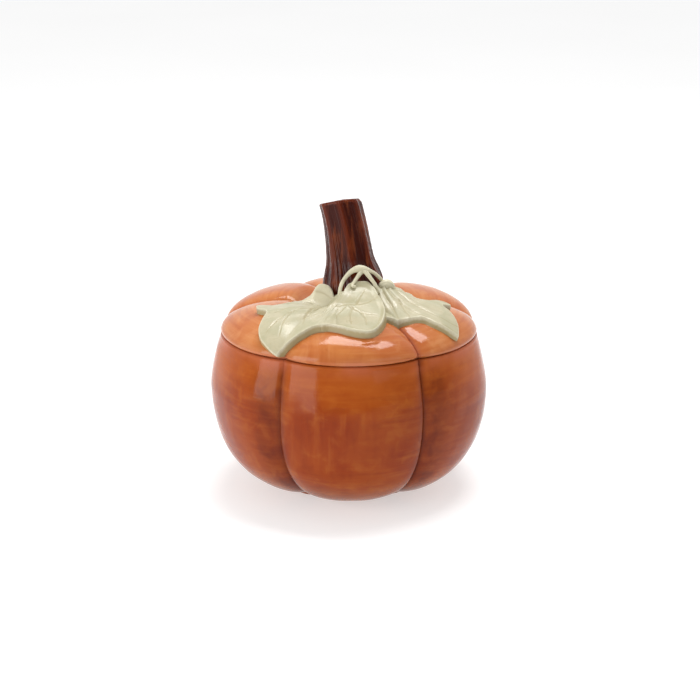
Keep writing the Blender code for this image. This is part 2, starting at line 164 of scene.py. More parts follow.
CURLED_LEAF_TOP = (137.6 * MM, -14.8 * MM, 1.0)
# How high the curled leaf reaches at each x, in millimetres
CURL_PROFILE = (
    (-39, 124), (-36, 125.2), (-33, 126.4), (-31, 127.5), (-27, 129.8), (-24.5, 132.4), (-22.5, 135.1),
    (-19, 137.1), (-16, 137.2), (-13, 136), (-10.5, 133), (-9, 129), (-8, 125),
)
CURL_SOFTNESS = 0.7 * MM

# Folds in the lid beside the front leaf: two creases from one point, and a small raised fold
FOLD_CREASES = ((25.5, -54.5), (17.5, -76), (40.3, -63.3))
SMALL_FOLD = ((10.5, -77.5), (14, -76.6), (17.5, -74.6))

# Veins: lines in a leaf's pattern, in millimetres
LEFT_VEINS = (
    ((-8, -37), (-19.5, -35), (-30, -38), (-38, -43), (-46.5, -52.5)),
    ((-10, -33), (-23.5, -31.5), (-33, -34.5), (-47, -41.5)),
    ((-12, -29.5), (-24, -28), (-41, -24)),
    ((-36, -42), (-41, -52), (-44, -66)),
    ((-24, -37), (-28, -48), (-29, -60)),
    ((-46, -52), (-52, -60)),
)
RIGHT_VEINS = (
    ((24, -17), (33.5, -30), (40.5, -38.5), (51, -45.5), (66, -49)),
    ((27, -10), (40, -27.5), (51.5, -38), (63, -42.5), (73, -43)),
    ((30, -4), (41.5, -24), (50, -31), (60, -34)),
    ((31, 2), (42, -14), (53, -20)),
    ((24, -24), (28.5, -36), (31.5, -48.5)),
    ((33, -29), (36, -40), (40, -50)),
)
FRONT_VEINS = (
    ((-9.5, -45), (-3, -43.5), (5, -43), (12.5, -40.5), (19, -35)),
    ((0.5, -45), (5, -48.5), (10, -51), (18, -52)),
    ((7.5, -50.5), (10, -56), (11, -64)),
    ((2, -46), (0.5, -53), (1.5, -64)),
    ((5, -42), (8, -35), (11, -28)),
    ((-2.5, -45), (-7, -52), (-9, -60)),
)
CURLED_VEINS = (((-23, -18), (-16, -19.5), (-10, -22.5)),)

# Bud and tendrils: points along each, in millimetres, with the radius there
BUD = ((21.6, -16, 136.4, 3), (23.8, -15.4, 137.2, 3.4), (26, -14.8, 136.2, 3.1), (27.4, -14.4, 135, 2.2))
TENDRIL_ARCH = (
    (-6.3, -28.6, 130, 1.1), (-6, -27, 134, 1.2), (-5.3, -24.3, 138, 1.25), (-3.8, -21.8, 141, 1.3),
    (-1.4, -20.2, 144.1, 1.4), (1.6, -19.2, 146.8, 1.7), (5.5, -18.7, 148.4, 2.3), (9, -18.4, 148.2, 2.2),
    (13.9, -17.2, 146.2, 1.4), (17.1, -15.5, 143.8, 1.2), (20.4, -13.6, 139.8, 1.2),
    (21.6, -13, 137.6, 1.2),
)
TENDRIL_CURL = (
    (8, -18.6, 147.6, 2.1), (6.9, -20, 145.7, 1.6), (5.3, -21.2, 143.6, 1.25), (3.6, -22.8, 141.3, 1.15),
    (2.3, -24.6, 139.8, 1.1), (2.4, -25.9, 138.9, 1), (3.8, -26, 138.8, 0.8),
)
TENDRIL_BRANCH = (
    (9, -18.4, 147.6, 2.1), (11, -19.6, 145.8, 1.5), (13.4, -20.8, 143, 1.3), (15.7, -21.4, 140, 1.25),
    (17.4, -22, 137, 1.2), (18.6, -22.6, 134, 1.2),
)

# Camera: on the jar's front, a little above it
CAMERA_DISTANCE = 1.15
CAMERA_ELEVATION = math.radians(17.4)
CAMERA_AIM = (0, 0, 96.5 * MM)
CAMERA_LENS = 90.7
CAMERA_SHIFT = (0.0014, -0.0169)

SURROUND = (0.3, 1.05)  # how bright the studio is in front of the jar and behind it
FLOOR_GLOW = 0.5
FLOOR_HALF_WIDTH = 8

# Painting: how fine the level and the upright brush strokes are, across and along a lobe
BRUSH_SCALES = ((24, 240, 1), (190, 24, 1))


# --- curves


def bell(value):
    """1 at 0, and falling away smoothly on both sides."""
    return np.exp(-(value**2))


def ramp(length, start, run):
    """0 up to a start and 1 from a run beyond it. The start and run are in millimetres."""
    return np.clip((length - start * MM) / (run * MM), 0, 1)


def unit(vectors):
    """Each vector at a length of one."""
    return vectors / np.linalg.norm(vectors, axis=-1, keepdims=True)


def soft_max(a, b, soft):
    """The larger of two heights, rounded over about soft where they meet."""
    return soft * np.logaddexp(a / soft, b / soft)


def jar_crest():
    """The jar's outer line along the crest of a lobe, from the underside up to the rim, as (r, z)."""
    turn = np.linspace(0, math.pi / 2, CREST_STEPS)
    lower_r = UNDERSIDE_RADIUS + (BELLY_RADIUS - UNDERSIDE_RADIUS) * np.sin(turn)
    lower_z = BELLY_HEIGHT - (BELLY_HEIGHT - UNDERSIDE_HEIGHT) * np.cos(turn) ** (2 / BELLY_FULLNESS)
    rise = np.linspace(0, 1, CREST_STEPS)[1:]
    upper_r = BELLY_RADIUS - (BELLY_RADIUS - RIM_RADIUS) * rise**SHOULDER_FULLNESS
    upper_z = BELLY_HEIGHT + (RIM_HEIGHT - RIM_ROUNDING - BELLY_HEIGHT) * rise
    return np.r_[lower_r, upper_r], np.r_[lower_z, upper_z]


def lid_crest():
    """The lid's outer line along the crest of a lobe, from the middle of the crown out to the seat."""
    rise = np.linspace(0, 1, CREST_STEPS)
    hollow_r = CROWN_RADIUS + (CREST_RADIUS - CROWN_RADIUS) * rise
    hollow_z = -CROWN_DIP * (1 + np.cos(math.pi * rise)) / 2
    turn = np.linspace(0, math.pi / 2, CREST_STEPS)[1:]
    spread, height = DOME_FULLNESS
    dome_r = CREST_RADIUS + (RIM_RADIUS - CREST_RADIUS) * np.sin(turn) ** (2 / spread)
    dome_z = DOME_HEIGHT * np.cos(turn) ** (2 / height)
    tuck = np.clip(1 - dome_z / EDGE_TUCK_HEIGHT, 0, 1)
    dome_r = dome_r - EDGE_TUCK * tuck**2
    r = np.r_[0, hollow_r, dome_r]
    z = np.r_[DOME_HEIGHT - CROWN_DIP, DOME_HEIGHT + hollow_z, dome_z]
    return r, SEAT_HEIGHT + z


class Crest:
    """A line in the r-z plane, read by the distance along it, with its outward normal."""

    def __init__(self, r, z, outward):
        run, rise = np.gradient(r), np.gradient(z)
        length = np.hypot(run, rise)
        self.r, self.z = r, z
        self.normal_r, self.normal_z = outward * rise / length, -outward * run / length
        self.distance = np.r_[0, np.cumsum(np.hypot(np.diff(r), np.diff(z)))]
        self.end = self.distance[-1]

    def at(self, distance):
        lines = (self.r, self.z, self.normal_r, self.normal_z)
        return [np.interp(distance, self.distance, line) for line in lines]

    def at_radius(self, radius):
        return float(np.interp(radius, self.r, self.distance))


JAR_CREST = Crest(*jar_crest(), outward=1)
LID_CREST = Crest(*lid_crest(), outward=-1)
GROOVES = np.radians(GROOVE_AZIMUTHS)
LOBE_ENDS = np.r_[GROOVES, GROOVES[0] + 2 * math.pi]


def sag_at(azimuth):
    """How far a lobe's surface is below its crest, from 0 on the crest to 1 in the groove beside it."""
    turned = GROOVES[0] + np.mod(azimuth - GROOVES[0], 2 * math.pi)
    lobe = np.clip(np.searchsorted(LOBE_ENDS, turned, side="right") - 1, 0, len(GROOVES) - 1)
    across = 2 * (turned - LOBE_ENDS[lobe]) / (LOBE_ENDS[lobe + 1] - LOBE_ENDS[lobe]) - 1
    beside = np.where(across < 0, lobe, (lobe + 1) % len(GROOVES))
    soft = np.array(GROOVE_SOFTNESS)[beside]
    full = np.sqrt(np.clip(1 - np.abs(across) ** LOBE_FULLNESS, 0, 1))
    return 1 - full**2 * (1 + soft) / (full + soft)


ACROSS = np.sin(np.linspace(-math.pi / 2, math.pi / 2, POINTS_PER_LOBE + 1))
HALF_LOBES = np.diff(LOBE_ENDS) / 2
AZIMUTHS = (LOBE_ENDS[:-1, None] + HALF_LOBES[:, None] * (1 + ACROSS[:-1])).ravel()
SAG = sag_at(AZIMUTHS)


def around(azimuth, r, z):
    """Points at radius r and height z round the axis."""
    return np.stack(np.broadcast_arrays(r * np.sin(azimuth), -r * np.cos(azimuth), z), axis=-1)


def jar_groove(distance):
    """The depth of the jar's grooves a distance along its crest."""
    belly = JAR_CREST.distance[np.argmax(JAR_CREST.r)]
    return np.interp(distance, [0, belly, JAR_CREST.end], [FOOT_GROOVE, BELLY_GROOVE, RIM_GROOVE])


def lid_groove(distance):
    """The depth of the lid's grooves a distance along its crest: none on the flat crown."""
    stops = [LID_CREST.at_radius(r) for r in (CROWN_RADIUS, CREST_RADIUS)]
    return np.interp(distance, [*stops, LID_CREST.end], [0, DOME_GROOVE, RIM_GROOVE])


def groove_side_shade_at(azimuth):
    """Where the painted shade lies: a darker band down the side of each groove away from the front, from 0 to
    1.
    """
    groove_side_shade = np.zeros(len(azimuth))
    for groove in GROOVES:
        past = np.degrees(np.mod(azimuth - groove + math.pi, 2 * math.pi) - math.pi)
        past = past * (1 if math.sin(groove) > 0 else -1)
        groove_side_shade = np.maximum(groove_side_shade, bell((past - SIDE_SHADE_PLACE) / SIDE_SHADE_WIDTH))
    return groove_side_shade


def unevenness(points, size, depth, seed):
    """The waviness of clay finished by hand: smooth lumps of about that size, up to about that depth."""
    draw = np.random.default_rng(seed)
    total = np.zeros(points.shape[:-1])
    waves = 8
    for _ in range(waves):
        direction = unit(draw.normal(size=3))
        pace = 2 * math.pi / (size * draw.uniform(0.8, 1.8))
        total += np.sin(points @ direction * pace + draw.uniform(0, 2 * math.pi))
    return depth * total / math.sqrt(waves)


# --- meshes


def placed(name, data):
    """A new object in the scene."""
    made = bpy.data.objects.new(name, data)
    bpy.context.scene.collection.objects.link(made)
    return made


def new_mesh(points, faces):
    data = bpy.data.meshes.new("mesh")
    data.from_pydata(np.reshape(points, (-1, 3)).tolist(), [], faces)
    return data


def finished(name, data, body, slot, node, *materials):
    """A smooth-shaded piece from a mesh, riding on a body and standing for a CAD node."""
    data.name = name
    data.validate()
    data.shade_smooth()
    piece = placed(name, data)
    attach(piece, body)
    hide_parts(node)
    for material in materials:
        data.materials.append(material)


def write_points(data, **values):
    """A float at each point of a mesh, under each name."""
    for name, value in values.items():
        spread = np.broadcast_to(value, len(data.vertices)).astype(np.float32)
        data.attributes.new(name, "FLOAT", "POINT").data.foreach_set("value", spread)


def ring_faces(count, columns, joined_ends=False):
    """Quads between rings of points that follow one another, and a face over each end unless joined."""
    rows = np.arange(count if joined_ends else count - 1)[:, None]
    here = rows * columns + np.arange(columns)
    below = (rows + 1) % count * columns + np.arange(columns)
    quads = np.stack([here, below, np.roll(below, -1, 1), np.roll(here, -1, 1)], -1)
    faces = quads.reshape(-1, 4).tolist()
    if not joined_ends:
        last = (count - 1) * columns
        faces += [list(range(columns)), list(range(last + columns - 1, last - 1, -1))]
    return faces


class Skin:
    """Rings of points, row by row. Each band of rings has a surface number, and values at its points."""

    def __init__(self):
        self.rings, self.surfaces, self.along, self.values = [], [], [], []

    def add(self, rings, surface, along=0.0, **values):
        rings = np.asarray(rings).reshape(-1, len(AZIMUTHS), 3)
        count = len(rings)
        self.rings.append(rings)
        self.surfaces += [surface] * count
        self.along.append(np.broadcast_to(along, (count,)))
        self.values.append({key: np.broadcast_to(v, rings.shape[:2]) for key, v in values.items()})

    def mesh(self, joined_ends=False):
        """The mesh over the rings, with outward faces where they run inside, up, out and down."""
        rings = np.concatenate(self.rings)
        count, columns = rings.shape[:2]
        rows = np.arange(count if joined_ends else count - 1)
        marks = np.repeat([self.surfaces[(row + 1) % count] for row in rows], columns).tolist()
        if not joined_ends:
            marks += [self.surfaces[0], self.surfaces[-1]]
        data = new_mesh(rings, ring_faces(count, columns, joined_ends))
        data.polygons.foreach_set("material_index", marks)
        for key in ("groove", "rim", "groove_side_shade", "crown"):
            parts = [v.get(key, np.zeros(r.shape[:2])) for v, r in zip(self.values, self.rings)]
            write_points(data, **{key: np.concatenate(parts).ravel()})
        self.write_brush(data, rings, np.concatenate(self.along), rows)
        return data

    def write_brush(self, data, rings, along, rows):
        """Painting coordinates of each lobe, in metres: across it, along it, and which lobe it is."""
        count, columns = rings.shape[:2]
        radius = np.hypot(rings[..., 0], rings[..., 1]).mean(1)
        lobe = np.arange(columns) // POINTS_PER_LOBE
        near, far = (np.tile(a, len(GROOVES)) * HALF_LOBES[lobe] for a in (ACROSS[:-1], ACROSS[1:]))
        after = (rows + 1) % count
        corners = []
        for side, row in ((near, rows), (near, after), (far, after), (far, rows)):
            across = radius[row][:, None] * side
            lengths = np.broadcast_to(along[row][:, None], across.shape)
            corners.append(np.stack([across, lengths, np.broadcast_to(0.3 * lobe, across.shape)], -1))
        values = np.zeros((len(data.loops), 3), np.float32)
        painted = np.stack(corners, 2).reshape(-1, 3)
        values[: len(painted)] = painted
        brush = data.attributes.new("brush", "FLOAT_VECTOR", "CORNER")
        brush.data.foreach_set("vector", values.ravel())


def lobed_rings(crest, distance, offset, groove):
    """Rings of points at distances along a crest, moved out by offset and in again at the grooves."""
    distance = np.atleast_1d(distance)
    r, z, normal_r, normal_z = (line[:, None] for line in crest.at(distance))
    offset = np.broadcast_to(offset, (*distance.shape, len(SAG)))
    out = offset - np.broadcast_to(groove, distance.shape)[:, None] * SAG
    return around(AZIMUTHS, r + normal_r * out, z + normal_z * out)


def level_ring(radius, height, groove=0.0):
    return around(AZIMUTHS, radius - groove * SAG, height)


def corner_rings(radius, height, rounding, start, end, groove, steps=6):
    """Level rings round a rounded edge: an arc about (radius, height) between two angles in degrees."""
    turn = np.radians(np.linspace(start, end, steps))[:, None]
    return level_ring(radius + rounding * np.cos(turn), height + rounding * np.sin(turn), groove)


OUTSIDE, INSIDE, BARE = 0, 1, 2


def jar_mesh():
    """The jar: a cream inside, a rounded lip, painted lobes outside and a bare foot ring."""
    skin = Skin()
    share = INNER_GROOVE_SHARE
    floor = np.linspace(1 * MM, UNDERSIDE_RADIUS - 3 * MM, 12)[:, None]
    skin.add(level_ring(floor, UNDERSIDE_HEIGHT + JAR_WALL), INSIDE)
    inside = np.linspace(2 * MM, JAR_CREST.end - RIM_ROUNDING, 56)
    skin.add(lobed_rings(JAR_CREST, inside, -JAR_WALL, share * jar_groove(inside)), INSIDE)
    lip = RIM_RADIUS - RIM_WIDTH + LIP_ROUNDING
    top = RIM_HEIGHT - LIP_ROUNDING
    skin.add(corner_rings(lip, top, LIP_ROUNDING, 180, 90, share * RIM_GROOVE), BARE)
    edge = RIM_RADIUS - RIM_ROUNDING
    crown = RIM_HEIGHT - RIM_ROUNDING
    rings = corner_rings(edge, crown, RIM_ROUNDING, 90, 8, RIM_GROOVE, 9)
    skin.add(rings, OUTSIDE, JAR_CREST.end, groove=SAG, rim=1.0, groove_side_shade=0.0)
    foot = JAR_CREST.at_radius(FOOT_OUTER_RADIUS)
    outside = np.linspace(JAR_CREST.end, foot, 132)
    rings = bumpy(lobed_rings(JAR_CREST, outside, 0, jar_groove(outside)), outside)
    rim = np.exp(-(JAR_CREST.end - outside) / (7 * MM))
    low = ramp(JAR_CREST.end - outside, 0, 12)[:, None]
    # Painted shade goes in the grooves and down their sides, from a little below the rim.
    skin.add(rings, OUTSIDE, outside, groove=SAG, rim=rim[:, None], groove_side_shade=low * groove_side_shade_at(AZIMUTHS))
    corner = FOOT_OUTER_RADIUS - FOOT_ROUNDING
    rings = corner_rings(corner, FOOT_ROUNDING, FOOT_ROUNDING, 0, -90, FOOT_LOBE)
    skin.add(rings, OUTSIDE, foot, groove=0.5)
    corner = FOOT_INNER_RADIUS + FOOT_ROUNDING
    skin.add(corner_rings(corner, FOOT_ROUNDING, FOOT_ROUNDING, -90, -180, 0), BARE)
    recess = np.linspace(FOOT_INNER_RADIUS - 1 * MM, 1 * MM, 8)[:, None]
    skin.add(level_ring(FOOT_INNER_RADIUS, FOOT_RECESS - 1 * MM), BARE)
    skin.add(level_ring(recess, FOOT_RECESS), INSIDE)
    return skin.mesh()


def bumpy(rings, distance):
    """The rings moved in and out a little, as on a hand-finished jar, but left true at their ends."""
    fade = ramp(np.minimum(distance - distance.min(), distance.max() - distance), 0, 8)
    outward = unit(rings - np.array([0, 0, BELLY_HEIGHT]))
    push = unevenness(rings, 46 * MM, 0.35 * MM, 3) + unevenness(rings, 13 * MM, 0.05 * MM, 4)
    return rings + outward * (push * fade[:, None])[..., None]


def folded(distance):
    """The lid's shallow folds beside the front leaf: two creases with a sunk facet between them, and a
    small raised fold. Heights for each ring at a distance and each azimuth."""
    place = distance[:, None] * np.stack([np.sin(AZIMUTHS), -np.cos(AZIMUTHS)])[:, None]
    flat = place.reshape(2, -1).T
    apex, left, right = (np.array(point) * MM for point in FOLD_CREASES)
    width = 0.9 * MM
    height = np.zeros(len(flat))
    within = np.ones(len(flat), bool)
    nearest = np.full(len(flat), np.inf)
    for end, turn in ((left, 1), (right, -1)):
        step = end - apex
        within &= turn * (step[0] * (flat[:, 1] - apex[1]) - step[1] * (flat[:, 0] - apex[0])) > 0
        near, _ = distance_to(flat, np.array([apex, end]))
        nearest = np.minimum(nearest, near)
        height -= 0.22 * MM * bell(near / width)
    sunk = 0.55 * MM * ramp(nearest, 0, 0.8) * np.exp(-nearest / (5 * MM))
    height -= np.where(within, sunk, 0)
    near, _ = distance_to(flat, np.array(SMALL_FOLD) * MM)
    height += 0.5 * MM * bell(near / width)
    return height.reshape(len(distance), -1)


def lid_mesh():
    """The lid: painted lobes outside, a tucked edge, a bare seat, a flange and a cream underside."""
    skin = Skin()
    share = INNER_GROOVE_SHARE
    hole = LID_CREST.at_radius(CROWN_HOLE_RADIUS)
    outside = np.linspace(hole, LID_CREST.end - 0.2 * MM, 110)
    depth = lid_groove(outside)
    rings = bumpy(lobed_rings(LID_CREST, outside, folded(outside), depth), outside)
    rim = np.exp(-(LID_CREST.end - outside) / (6 * MM))
    groove = SAG * np.clip(depth / RIM_GROOVE, 0, 1)[:, None]
    crown = 1 - ramp(outside - LID_CREST.at_radius(CROWN_RADIUS), 0, 18)
    skin.add(rings, OUTSIDE, outside, groove=groove, rim=rim[:, None], crown=crown[:, None])
    ring = level_ring(LID_CREST.r[-1] - 0.8 * MM, SEAT_HEIGHT, RIM_GROOVE)
    skin.add(ring, OUTSIDE, LID_CREST.end, groove=SAG, rim=1.0)
    groove = share * RIM_GROOVE
    flange = RIM_RADIUS - RIM_WIDTH - FLANGE_CLEARANCE
    inner = flange - FLANGE_WIDTH
    low = SEAT_HEIGHT - FLANGE_DEPTH
    skin.add(level_ring(flange, SEAT_HEIGHT, groove), BARE)
    rounding = 1.5 * MM
    skin.add(corner_rings(flange - rounding, low + rounding, rounding, 0, -90, groove), INSIDE)
    skin.add(corner_rings(inner + rounding, low + rounding, rounding, -90, -180, groove), INSIDE)
    under = np.linspace(LID_CREST.at_radius(inner), hole, 60)
    skin.add(lobed_rings(LID_CREST, under, -LID_WALL, share * lid_groove(under)), INSIDE)
    return skin.mesh(joined_ends=True)


# --- stem


def swell(share, top):
    """A smooth rise and fall from 0 up to a top share of the stem's height."""
    return math.sin(math.pi * min(max(share, 0) / top, 1)) ** 2


def stem_line(share):
    """The stem's middle and radius at a share of its height, 0 at the base and 1 at the top."""
    x = STEM_BASE_OFFSET + STEM_LEAN * max(share, 0) ** STEM_BEND + STEM_SWAY * swell(share, STEM_SWAY_TOP)
    z = STEM_BASE + (STEM_TOP - STEM_BASE) * share
    taper = (STEM_BASE_RADIUS - STEM_TOP_RADIUS) * (1 - share) ** 2
    radius = STEM_TOP_RADIUS + taper + STEM_COLLAR * swell(share, STEM_COLLAR_TOP)
    return x, STEM_LEAN_BACK * share, z, radius


def stem_relief(share):
    """The stem's surface, as shares of its radius: broad flutes and narrow ribs."""
    draw = np.random.default_rng(11)
    twist = STEM_TWIST * share / STEM_FLUTES
    flute = -0.05 * (1 + np.cos(STEM_FLUTES * STEM_TURN + STEM_TWIST * share))
    ribs = 0.0
    for count, depth in ((13, 0.012), (23, 0.013), (37, 0.01), (53, 0.006)):
        sway = draw.uniform(0, 2 * math.pi)
        wave = np.cos(count * (STEM_TURN + twist) + sway + 0.8 * np.sin(4 * share + sway))
        ribs = ribs - depth * np.abs(wave) ** 0.6
    return flute + ribs


def stem_ring(share, radius, cut, relief=1.0):
    x, y, z, _ = stem_line(share)
    surface = radius * (1 + relief * stem_relief(share))
    across, deep = surface * np.cos(STEM_TURN), surface * np.sin(STEM_TURN)
    rise = across - 0.65 * np.clip(across - 2 * MM, 0, None)
    tilt = cut * (STEM_CUT_RISE_RIGHT * rise - STEM_CUT_FALL_BACK * deep)
    return np.stack([x + across, y + deep, z + tilt], axis=-1)


def stem_mesh():
    """The stem: a slanting cut with a rounded edge, a fluted outside, and a bore from below."""
    height = STEM_TOP - STEM_BASE
    rings, raised = [], []

    def add(ring, value):
        rings.append(ring)
        raised.append(np.broadcast_to(value, STEM_COLUMNS))

    worn = STEM_WEAR * np.clip(np.cos(STEM_TURN - 0.3), 0, 1)
    for share in np.linspace(0.06, 0.9, 10):
        ring = stem_ring(1, STEM_TOP_RADIUS * share, 1)
        ring[:, 2] -= 0.6 * MM * (1 - share**2)
        add(ring, 0.3 + 0.5 * share)
    for angle in np.radians(np.linspace(75, 15, 5)):
        share = 1 - STEM_EDGE * (1 - math.sin(angle)) / height
        add(stem_ring(share, STEM_TOP_RADIUS - worn - STEM_EDGE * (1 - math.cos(angle)), 1), 1.0)
    for share in np.linspace(1 - 2.2 * MM / height, -0.02, 120):
        near_top = np.clip((share - 0.95) / 0.05, 0, 1) ** 2
        ring = stem_ring(share, stem_line(share)[3] - worn * near_top, max(share, 0) ** 4)
        add(ring, 1 + 10 * stem_relief(share))
    for share in np.linspace(0, 1 - STEM_TOP_WALL / height, 8):
        add(stem_ring(share, STEM_BORE_RADIUS, 0, 0.2), 0.0)
    data = new_mesh(rings, ring_faces(len(rings), STEM_COLUMNS))
    write_points(data, raised=np.concatenate(raised))
    return data


# --- leaves


def spline(before, start, end, after, steps=12):
    """Points on a smooth curve from start towards end, bent by the corners before and after them."""
    t = np.arange(steps)[:, None] / steps
    curve = 2 * start + (end - before) * t + (2 * before - 5 * start + 4 * end - after) * t**2
    return (curve + (3 * start - before - 3 * end + after) * t**3) / 2


def closed_curve(corners, spacing):
    """A closed smooth curve through corner points in millimetres, as evenly spaced points in metres."""
    corners = np.array(corners, float) * MM
    sides = zip(*(np.roll(corners, turn, axis=0) for turn in (1, 0, -1, -2)))
    points = np.concatenate([spline(*side) for side in sides])
    loop = np.r_[points, points[:1]]
    length = np.r_[0, np.cumsum(np.hypot(*np.diff(loop, axis=0).T))]
    places = np.linspace(0, length[-1], int(length[-1] / spacing), endpoint=False)
    return np.stack([np.interp(places, length, loop[:, i]) for i in (0, 1)], -1)


def open_curve(corners, steps=14):
    """A smooth line through corner points in millimetres, as points in metres."""
    corners = np.array(corners, float) * MM
    padded = np.r_[[2 * corners[0] - corners[1]], corners, [2 * corners[-1] - corners[-2]]]
    sides = zip(padded, padded[1:], padded[2:], padded[3:])
    return np.concatenate([*(spline(*side, steps) for side in sides), corners[-1:]])


def distance_to(points, line, closed=False):
    """The distance from each point to a line of points, and how far along the line the nearest is."""
    starts, ends = (line, np.roll(line, -1, axis=0)) if closed else (line[:-1], line[1:])
    return distance_to_pieces(points, starts, ends)


def distance_to_pieces(points, starts, ends):
    """The same for separate straight pieces, given by their starts and ends."""
    best = np.full(len(points), np.inf)
    place = np.zeros(len(points))
    total = len(starts)
    for index, (a, b) in enumerate(zip(starts, ends)):
        step = b - a
        t = np.clip((points - a) @ step / max(step @ step, 1e-18), 0, 1)
        away = np.hypot(*(points - a - t[:, None] * step).T)
        nearer = away < best
        best[nearer] = away[nearer]
        place[nearer] = (index + t[nearer]) / total
    return best, place


def inside_of(points, outline):
    """Which points are inside a closed outline."""
    x, y = points.T
    inside = np.zeros(len(points), bool)
    for (ax, ay), (bx, by) in zip(outline, np.roll(outline, -1, axis=0)):
        if ay == by:
            continue
        crosses = (ay > y) != (by > y)
        inside ^= crosses & (x < (bx - ax) * (y - ay) / (by - ay) + ax)
    return inside


def filled(outline, spacing, bands):
    """Points inside an outline: a grid, and rows near the edge at the distances in bands. Returns the
    points, the outline's first, and the triangles between them."""
    low, high = outline.min(0), outline.max(0)
    rows = np.arange(low[1], high[1], spacing * math.sqrt(3) / 2)
    grid = []
    for index, y in enumerate(rows):
        xs = np.arange(low[0] + spacing / 2 * (index % 2), high[0], spacing)
        grid.append(np.stack([xs, np.full(len(xs), y)], -1))
    grid = np.concatenate(grid)
    grid = grid[inside_of(grid, outline)]
    away, _ = distance_to(grid, outline, closed=True)
    reach = bands[-1] if bands else 0
    chosen = [grid[away > reach + 0.6 * spacing]]
    tangent = np.roll(outline, -1, axis=0) - np.roll(outline, 1, axis=0)
    inward = unit(np.stack([-tangent[:, 1], tangent[:, 0]], -1))
    if not inside_of(outline[:1] + inward[:1] * 0.1 * MM, outline)[0]:
        inward = -inward
    for band in bands:
        row = outline + inward * band
        row = row[inside_of(row, outline)]
        away, _ = distance_to(row, outline, closed=True)
        chosen.append(row[away > 0.93 * band])
    points = np.concatenate([outline, *chosen])
    edge = list(range(len(outline)))
    result = delaunay_2d_cdt([Vector(p) for p in points * 1000], [], [edge], 1, 1e-5)
    return np.array([tuple(p) for p in result[0]]) / 1000, [list(face) for face in result[2]]


def lid_hollow(pattern):
    """How far the lid's lobes fall below its crest line under each point of a pattern."""
    return lid_groove(np.hypot(*pattern.T)) * sag_at(np.arctan2(pattern[:, 0], -pattern[:, 1]))


def on_lid(pattern, offset, groove_share=LEAF_GROOVE_SHARE):
    """Points of a flat pattern laid on the lid, lifted by offset: along the dome's normal, then upwards."""
    azimuth = np.arctan2(pattern[:, 0], -pattern[:, 1])
    r, z, normal_r, normal_z = LID_CREST.at(np.hypot(*pattern.T))
    out = offset - groove_share * lid_hollow(pattern)
    lift = np.clip(out - LEAF_THICKNESS, 0, None)
    out = out - lift
    return around(azimuth, r + normal_r * out, z + normal_z * out + lift)


def lid_height(pattern):
    """The height of the lid's crest line under each point of a pattern."""
    return LID_CREST.at(np.hypot(*pattern.T))[1]


def climbing(pattern, rise, thinned, front):
    """A leaf's top that follows the dome, climbs to the stem from the crest inwards, and is thinned
    towards the back and towards the front."""
    x, y = pattern.T
    climb = np.clip(LID_CREST.at_radius(CREST_RADIUS) - np.hypot(x, y), 0, None)
    thin = thinned * ramp(y, -36, 12) * ramp(x, -60, 10) + front * ramp(-y, 28, 14)
    return LEAF_THICKNESS - thin + rise * climb**2 / (climb + 3 * MM)


def propped(pattern, height, place, slope):
    """A leaf's top that leans on the stem as a tilted plane, and nowhere thinner than a leaf."""
    plane = height + slope * (pattern[:, 1] - place) - lid_height(pattern)
    return soft_max(LEAF_THICKNESS, plane, 0.6 * MM)


def fanned(pattern, root, count, depth, reach):
    """Folds that fan out from a root point in the pattern, in millimetres, and fade with distance."""
    across, along = (pattern - np.array(root) * MM).T
    distance = np.hypot(across, along)
    fade = ramp(distance, 0, 8) * bell(distance / (reach * MM))
    return depth * fade * np.cos(count * np.arctan2(along, across))


def dished(pattern, top, outline):
    """A leaf's top with its middle pressed down."""
    edge = closed_curve(outline, 2 * MM)
    within, _ = distance_to(pattern, edge, closed=True)
    inward = np.where(inside_of(pattern, edge), ramp(within - LEAF_EDGE, 0, 3.2), 0)
    return top - LEAF_DISH * inward**2 * (3 - 2 * inward)


def mounded(pattern, top, place, height, slope):
    """A leaf's top that also rises to a mound at a place in the pattern."""
    away = np.hypot(*(pattern - np.array(place) * MM).T)
    mound = height - slope * np.hypot(away, 4 * MM) - lid_height(pattern)
    return soft_max(top, mound, 0.8 * MM)


def beside(pattern, top, neighbour, outline, slope):
    """A leaf's top that climbs, near a neighbouring leaf's outline, to meet the neighbour's top."""
    edge = closed_curve(outline, 2 * MM)
    away, _ = distance_to(pattern, edge, closed=True)
    away = np.where(inside_of(pattern, edge), 0.02 * away, away)
    reached = neighbour - slope * away
    soft = 0.9 * MM
    overlap = soft * math.log(2) * np.exp(-np.abs(top - reached) / soft)
    return soft_max(top, reached, soft) - overlap


def front_top(pattern):
    return dished(pattern, propped(pattern, *FRONT_LEAF_TOP), FRONT_LEAF)


def curled_top(pattern):
    """A tilted plane held under the curled leaf's profile."""
    place, height = np.array(CURL_PROFILE).T * MM
    profile = np.interp(pattern[:, 0], place, height) - lid_height(pattern)
    top = -soft_max(-propped(pattern, *CURLED_LEAF_TOP), -profile, CURL_SOFTNESS)
    return dished(pattern, soft_max(1.2 * MM, top, CURL_SOFTNESS), CURLED_LEAF)


def left_top(pattern):
    top = climbing(pattern, LEFT_LEAF_RISE, 2.3 * MM, 0)
    top = beside(pattern, top, front_top(pattern), FRONT_LEAF, 0.95)
    return beside(pattern, top, curled_top(pattern), CURLED_LEAF, 1.0)


def right_top(pattern):
    return mounded(pattern, climbing(pattern, RIGHT_LEAF_RISE, 0, 1.0 * MM), *RIGHT_LEAF_MOUND)


def free_edges(outlines):
    """The pieces of some overlapping outlines that are outside all the others: starts and ends."""
    starts, ends = [], []
    for outline in outlines:
        after = np.roll(outline, -1, axis=0)
        hidden = np.zeros(len(outline), bool)
        for other in outlines:
            if other is not outline:
                hidden |= inside_of((outline + after) / 2, other)
        starts.append(outline[~hidden])
        ends.append(after[~hidden])
    return np.concatenate(starts), np.concatenate(ends)


